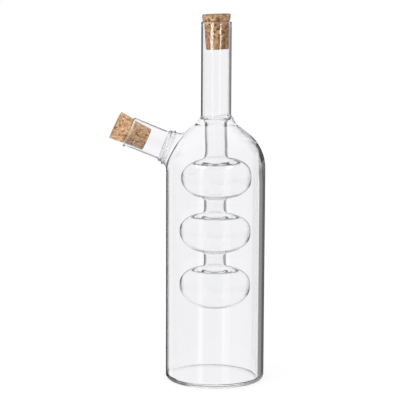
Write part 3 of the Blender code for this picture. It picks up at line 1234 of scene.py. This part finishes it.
# %% [markdown]
# ## Light caught in the vessel's wall
#
# The bulbs' outlines are thin and fainter, more so on their left. Only light that leaves a little below
# the horizon is darkened here. Both kinds of caught light are then laid over the plain room, and two
# glows are added: the guided light at the foot, and a paler strip in the right band.

# %% Caught in the vessel's wall
vessel_floor = (-0.34, -0.24)
vessel_ceiling = (0.02, 0.08)
vessel_right = (0.0, 0.15)
vessel_drop = 0.16
vessel_left = (-0.20, -0.05)
vessel_left_share = 0.45
caught_in_wall = 0.08
foot_glow = 0.7
band_right = (0.35, 0.50)
band_top = (-0.12, -0.06)
band_glow = 0.14


def caught_in_vessel(ray):
    height = ray.up + ray.above(ray.right, vessel_right) * vessel_drop
    low = ray.in_vessel * ray.above(height, vessel_floor) * ray.below(ray.up, vessel_ceiling)
    return low * (vessel_left_share + ray.above(ray.right, vessel_left) * (1.0 - vessel_left_share))


def with_caught_light(ray, room):
    in_bottle = caught_in_bottle(ray)
    caught = in_bottle * (1.0 - wings(ray)) + caught_in_vessel(ray)
    room = room + (caught_in_wall - room) * caught
    room = room + guided_up(ray) * ray.in_bottle * (1.0 - ray.once) * foot_glow
    return room + in_bottle * ray.once * ray.above(ray.right, band_right) * ray.below(ray.up, band_top) * band_glow


print("caught light falls to", caught_in_wall)

# %% [markdown]
# ## Two windows and a dark screen
#
# Two tall soft windows beside the camera draw the upright streaks on the glass. A dark screen stands
# behind the bottle, where the camera can't see it but mirrored light can. It draws the thin dark
# outlines, and is paler to the far right, where the photographed bottle's outline is paler too.

# %% Windows and screen
Window = namedtuple("Window", "azimuth half_width brightness")
windows = (Window(-31.5, 5.0, 1.1), Window(29.5, 4.2, 1.0))
window_softness = (0.4, 1.6)
window_ceiling = (0.15, 0.35)
window_faces = 4
screen_left = 0.05
screen_right = 0.02
screen_far_right = 0.30
screen_middle = (-0.1, 0.1)
screen_right_edge = (0.25, 0.42)
screen_front = (0.3, 0.5)
screen_floor = (-0.34, -0.26)
screen_top = (0.04, 0.12)
screen_up_left_cut = 0.75


def with_windows(ray, room):
    azimuth = ray.right.maths("ARCTAN2", -ray.ahead)
    for window in windows:
        away = (azimuth - math.radians(window.azimuth)).maths("ABSOLUTE")
        edge = [math.radians(window.half_width * share) for share in window_softness]
        seen = ray.below(away, edge) * ray.at_most(ray.faces, window_faces) * ray.below(ray.up, window_ceiling)
        room = room + seen * window.brightness
    return room


def with_screen(ray, room):
    screen = ray.below(ray.side, wing_edge) * ray.above(ray.ahead, screen_front)
    screen = screen * ray.above(ray.up, screen_floor) * ray.below(ray.up, screen_top)
    screen = screen * ray.once * (1.0 - ray.up_left * screen_up_left_cut)
    level = screen_left - ray.above(ray.right, screen_middle) * (screen_left - screen_right)
    level = level + ray.above(ray.right, screen_right_edge) * (screen_far_right - screen_right)
    return room + (level - room) * screen


print("windows at", [window.azimuth for window in windows], "degrees from the camera")

# %% [markdown]
# ## The world
#
# What the camera sees directly is white, and what it sees through the glass nearly so, with a faint
# cool tint; mirrored light gets the room. The corks are matt and don't mirror but gather light, so they
# get a plain studio from the same world: a key from the left of the camera, a fill, and light from
# above. The part of a cork inside the glass gets more, because the glass keeps light out.

# %% Build the world
seen_through = 0.975
cool_tint = 1.02
key_way = (-0.55, -0.62, 0.56)
key_edge = (-0.2, 1.0)
key_light = 1.0
fill_light = 0.28
top_edge = (0.55, 0.85)
top_light = 0.9
more_inside_glass = 0.75


def light_on_corks(ray):
    towards_key = ray.x * key_way[0] + ray.y * key_way[1] + ray.up * key_way[2]
    key = ray.above(towards_key, key_edge) * key_light + fill_light
    return key * (1.0 + (1.0 - ray.unbent) * more_inside_glass) + ray.above(ray.up, top_edge) * top_light


def studio_world():
    world = bpy.data.worlds.new("studio")
    bpy.context.scene.world = world
    world.use_nodes = True
    nodes = Nodes(world.node_tree)
    ray = Ray(nodes)
    room = with_screen(ray, with_windows(ray, with_caught_light(ray, plain_room(ray))))
    through = 1.0 - (1.0 - ray.unbent) * (1.0 - seen_through)
    level = through + (room - through) * ray.mirrored
    level = level + (light_on_corks(ray) - level) * ray.scattered
    grey = nodes.add("ShaderNodeCombineColor", None, {"Red": level, "Green": level, "Blue": level * cool_tint})
    nodes.feed(world.node_tree.nodes["Background"], {"Color": grey, "Strength": 1.0})
    return world


world = studio_world()
print("nodes in the world:", len(world.node_tree.nodes))

# %% [markdown]
# ## Lamps
#
# Two soft boxes stand left and right of the camera and light the corks. The glass doesn't mirror them,
# because it has its windows already.

# %% Soft boxes
bottle_middle = Vector((0.0, 0.0, 0.12))
lamp_distance = 1.2


def soft_box(name, azimuth, elevation, width, height, power):
    """A rectangular lamp that looks at the bottle. Azimuth 0 is the camera's side, -Y."""
    light = bpy.data.lights.new(name, "AREA")
    light.shape = "RECTANGLE"
    light.size, light.size_y = width, height
    light.energy = power
    lamp = put_in_scene(name, light)
    a, e = math.radians(azimuth), math.radians(elevation)
    back = Vector((math.sin(a) * math.cos(e), -math.cos(a) * math.cos(e), math.sin(e)))
    lamp.location = bottle_middle + back * lamp_distance
    lamp.rotation_mode = "QUATERNION"
    lamp.rotation_quaternion = (-back).to_track_quat("-Z", "Y")
    lamp.visible_glossy = lamp.visible_transmission = False
    return lamp


left_box = soft_box("left_soft_box", -36.0, 20.0, 0.35, 0.9, 1.2)
right_box = soft_box("right_soft_box", 33.0, 25.0, 0.20, 0.9, 0.7)
print("soft boxes, watts:", round(left_box.data.energy, 2), round(right_box.data.energy, 2))

# %% [markdown]
# ## Two glowing panels
#
# In front of the neck cork the photograph shows two bright upright stripes. They are lamps mirrored in
# the neck's bare outer face, and the cork behind makes them plain to see. Small panels close to the
# camera's line do this. They let all light pass that has been inside the glass, so that they show
# nowhere else.

# %% Panels that only bare glass mirrors
strip_glow = 13.0
strip_height = 0.042
strip_middle = 0.2305
strip_distance = 0.45


def mixed_material(name, share, one, two):
    """A material that mixes two shaders, each given as a node's type and its inputs."""
    material, nodes = new_material(name)
    path = nodes.add("ShaderNodeLightPath")
    mix = nodes.add("ShaderNodeMixShader", None, {0: share(path), 1: nodes.add(*one), 2: nodes.add(*two)})
    nodes.feed(material.node_tree.nodes["Material Output"], {"Surface": mix})
    return material


def strip(name, azimuth, width):
    """A small upright panel that faces the bottle."""
    turn = math.radians(azimuth) + view_turn
    mesh = bmesh.new()
    bmesh.ops.create_grid(mesh, x_segments=1, y_segments=1, size=0.5)
    panel = put_in_scene(name, as_mesh(name, mesh))
    panel.scale = (width, strip_height, 1.0)
    panel.location = (strip_distance * math.sin(turn), -strip_distance * math.cos(turn), strip_middle)
    panel.rotation_euler = (math.pi / 2, 0.0, turn)
    panel.data.materials.append(mixed_material(
        name, lambda path: path.other("Transmission Depth").maths("LESS_THAN", 0.5),
        ("ShaderNodeBsdfTransparent",), ("ShaderNodeEmission", None, {"Strength": strip_glow}),
    ))
    panel.visible_camera = panel.visible_diffuse = panel.visible_transmission = panel.visible_shadow = False
    return panel


left_strip = strip("left_strip", -40.4, 0.19)
right_strip = strip("right_strip", 24.8, 0.088)
print("panels at", strip_distance, "m from the bottle")

# %% [markdown]
# ## The table top
#
# The floor is plain and pale. Is Camera Ray mixes a glow of strength 1 into it, so that the camera sees
# it as white without more light on the object; the rest of it is matt and keeps the shadow. Mirrored
# and bent light doesn't see the floor, but the room.

# %% Floor
floor_radius = 0.6
floor_white = (0.92, 0.92, 0.92, 1.0)
floor_glow_share = 0.8


def pale_floor():
    mesh = bmesh.new()
    bmesh.ops.create_circle(mesh, cap_ends=True, segments=96, radius=floor_radius)
    floor = put_in_scene("floor", as_mesh("floor", mesh))
    matt = {"Base Color": floor_white, "Roughness": 1.0, "Specular IOR Level": 0.0}
    floor.data.materials.append(mixed_material(
        "pale_floor", lambda path: path.other("Is Camera Ray") * floor_glow_share,
        ("ShaderNodeBsdfPrincipled", None, matt), ("ShaderNodeEmission",),
    ))
    floor.visible_glossy = floor.visible_transmission = False
    return floor


pale_floor()
print("floor radius, m:", floor_radius)

# %% [markdown]
# ## Bounces
#
# Light that is caught in a wall meets many faces before it finds its way out. At Blender's own limits
# it would be lost, and would leave dark patches in the glass.

# %% Bounce limits
light_paths = bpy.context.scene.cycles
light_paths.max_bounces = 24
light_paths.glossy_bounces = 16
light_paths.transmission_bounces = 24
print("most bounces:", light_paths.max_bounces)

# %% [markdown]
# ## The camera
#
# The view comes from fitting a camera to the photograph: a little above the bottle, looking slightly
# down, with a long lens. Colours are shown as they are written, so the view transform is Standard.

# %% Camera
camera_place = (-0.0740, -1.2018, 0.3014)
camera_turn = math.radians(-3.0)
camera_tilt = math.radians(90.0 - 8.16)
camera_roll = math.radians(0.251)
focal_length = 154.7
sensor_width = 36.0


def photo_camera():
    data = bpy.data.cameras.new("camera")
    data.sensor_width = sensor_width
    data.lens = focal_length
    camera = put_in_scene("camera", data)
    camera.location = camera_place
    turned = Matrix.Rotation(camera_turn, 4, "Z") @ Matrix.Rotation(camera_tilt, 4, "X")
    camera.rotation_euler = (turned @ Matrix.Rotation(camera_roll, 4, "Z")).to_euler()
    bpy.context.scene.camera = camera


photo_camera()
bpy.context.scene.view_settings.view_transform = "Standard"
print("camera looks down by", round(90.0 - math.degrees(camera_tilt), 2), "degrees")

# %% [markdown]
# ## Finish
#
# The looks must fill the same box as the packed model, or the part would not fit where the library
# says it does. The last cell brings the scene up to date.

# %% Bring the scene up to date
bpy.context.view_layer.update()
